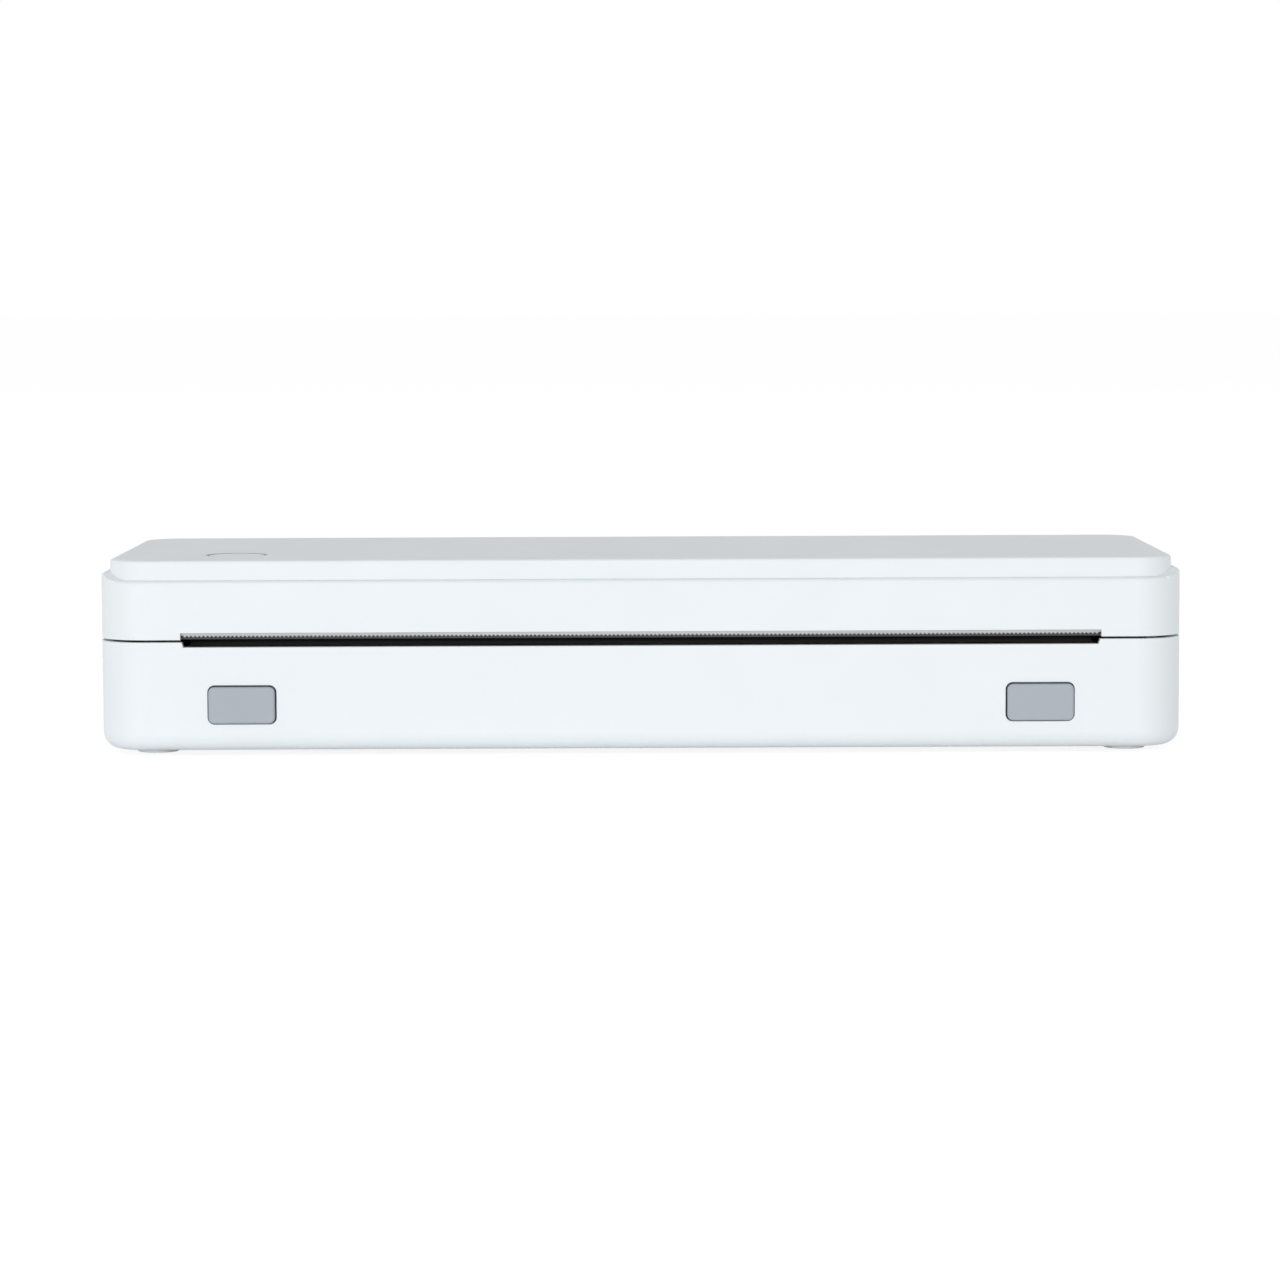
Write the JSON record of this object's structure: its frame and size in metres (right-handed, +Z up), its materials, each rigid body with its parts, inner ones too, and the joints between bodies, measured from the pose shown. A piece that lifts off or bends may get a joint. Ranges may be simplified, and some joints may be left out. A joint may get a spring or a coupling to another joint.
{
  "type": "portable thermal printer",
  "caption": "Portable A4 thermal page printer: white casing with a hinged top cover, paper exit slot with tear bar, grey release buttons and a round power button.",
  "frame": {"origin": "centre of the closed printer's footprint, on the surface it stands on", "axes": "+X along the printer to its right end, +Y from the front to the hinge side, +Z up; the front with the slot faces -Y"},
  "size_m": [0.258, 0.0936, 0.0465],
  "materials": {
    "shell_white": "fine matte mould texture",
    "button_grey": "satin mould texture",
    "inner_dark": "fine matte mould texture",
    "lip_black": "smooth matte",
    "tear_steel": "brushed along its length",
    "frame_steel": "rolled zinc-plated sheet",
    "shaft_steel": "ground",
    "spring_steel": "drawn spring wire",
    "screw_steel": "zinc plated",
    "motor_metal": "pressed and plated",
    "contact_metal": "nickel plated",
    "bush_bronze": "sintered bronze",
    "rubber_platen": "fine ground rubber",
    "rubber_foot": "moulded pale rubber",
    "gear_white": "natural acetal",
    "guide_grey": "satin mould texture",
    "head_aluminium": "extruded, clear anodised",
    "head_ceramic": "glazed",
    "cell_sleeve": "shrink sleeve",
    "board_green": "solder mask over glass laminate",
    "chip_black": "moulded epoxy",
    "connector_cream": "nylon",
    "ribbon_film": "polyester film"
  },
  "bodies": {
    "base": {"base_housing": "shell_white", "rubber_feet": "rubber_foot", "hinge_pins": "shaft_steel", "mechanism_frame": "frame_steel", "platen_bushes": "bush_bronze", "exit_lip": "lip_black", "inner_deck": "inner_dark", "base_screws": "screw_steel", "gear_bracket": "frame_steel", "stepper_motor": "motor_metal", "battery_cells": "cell_sleeve", "battery_contacts": "contact_metal", "main_board": "board_green", "board_parts": "chip_black", "usb_socket": "contact_metal", "base_ribbon": "ribbon_film", "ribbon_loop": "ribbon_film", "cover_switch": "chip_black", "paper_sensor": "chip_black"},
    "cover": {"top_cover": "shell_white", "cover_liner": "inner_dark", "tear_bar": "tear_steel", "exit_guard": "lip_black", "power_ring": "lip_black", "head_carrier": "frame_steel", "cover_screws": "screw_steel", "key_board": "board_green", "tact_switch": "chip_black", "cover_ribbon": "ribbon_film"},
    "print_head": {"head_heatsink": "head_aluminium", "head_pivot_pins": "shaft_steel", "head_ceramic": "head_ceramic", "head_driver_cover": "chip_black", "head_connector": "connector_cream", "head_springs": "spring_steel"},
    "power": {"power_button": "shell_white"},
    "release_left": {"release_button_left": "button_grey", "release_slider_left": "guide_grey", "latch_leaf_left": "spring_steel", "release_spring_left": "spring_steel"},
    "release_right": {"release_button_right": "button_grey", "release_slider_right": "guide_grey", "latch_leaf_right": "spring_steel", "release_spring_right": "spring_steel"},
    "platen": {"platen_shaft": "shaft_steel", "platen_roller": "rubber_platen", "platen_gear": "gear_white"},
    "idler": {"idler_gear": "gear_white"},
    "motor_rotor": {"motor_pinion": "shaft_steel"},
    "guide_left": {"paper_guide_left": "guide_grey", "guide_rack_left": "guide_grey"},
    "guide_right": {"paper_guide_right": "guide_grey", "guide_rack_right": "guide_grey"},
    "guide_pinion": {"guide_pinion": "gear_white"}
  },
  "joints": [
    {"name": "cover_hinge", "type": "hinge", "parent": "base", "child": "cover", "pos_m": [0, 0.0415, 0.02747], "axis": [-1, 0, 0], "range_deg": [0, 90], "deforming": ["ribbon_loop", "latch_leaf_left", "latch_leaf_right"]},
    {"name": "release_left", "type": "slide", "parent": "base", "child": "release_left", "axis": [0, 1, 0], "range_m": [0, 0.002], "stiffness_N_per_m": 300, "springref_m": -0.001, "deforming": ["release_spring_left"]},
    {"name": "release_right", "type": "slide", "parent": "base", "child": "release_right", "axis": [0, 1, 0], "range_m": [0, 0.002], "stiffness_N_per_m": 300, "springref_m": -0.001, "deforming": ["release_spring_right"]},
    {"name": "power_press", "type": "slide", "parent": "cover", "child": "power", "axis": [0, 0, -1], "range_m": [0, 0.0005], "stiffness_N_per_m": 800, "springref_m": -0.0003},
    {"name": "head_float", "type": "hinge", "parent": "cover", "child": "print_head", "pos_m": [0, -0.023, 0.0299], "axis": [-1, 0, 0], "range_deg": [0, 2.5], "stiffness_Nm_per_rad": 0.6, "springref_deg": -17.19, "deforming": ["head_springs"]},
    {"name": "platen_spin", "type": "hinge", "parent": "base", "child": "platen", "pos_m": [0, -0.033, 0.0209], "axis": [1, 0, 0], "continuous": true},
    {"name": "idler_spin", "type": "hinge", "parent": "base", "child": "idler", "pos_m": [0.1223, -0.01969, 0.01516], "axis": [1, 0, 0], "continuous": true},
    {"name": "motor_spin", "type": "hinge", "parent": "base", "child": "motor_rotor", "pos_m": [0.1223, -0.0092, 0.0146], "axis": [1, 0, 0], "continuous": true},
    {"name": "guide_left_slide", "type": "slide", "parent": "base", "child": "guide_left", "axis": [1, 0, 0], "range_m": [0, 0.075]},
    {"name": "guide_right_slide", "type": "slide", "parent": "base", "child": "guide_right", "axis": [-1, 0, 0], "range_m": [0, 0.075]},
    {"name": "guide_pinion_spin", "type": "hinge", "parent": "base", "child": "guide_pinion", "pos_m": [0, -0.003, 0.0046], "axis": [0, 0, 1], "range_deg": [0, 767.35]}
  ],
  "couplings": [
    {"joint": "idler_spin", "follows": "platen_spin", "ratio": -0.93333},
    {"joint": "motor_spin", "follows": "platen_spin", "ratio": 2.3333},
    {"joint": "guide_right_slide", "follows": "guide_left_slide", "ratio": 1},
    {"joint": "guide_pinion_spin", "follows": "guide_left_slide", "rad_per_m": 178.57}
  ]
}
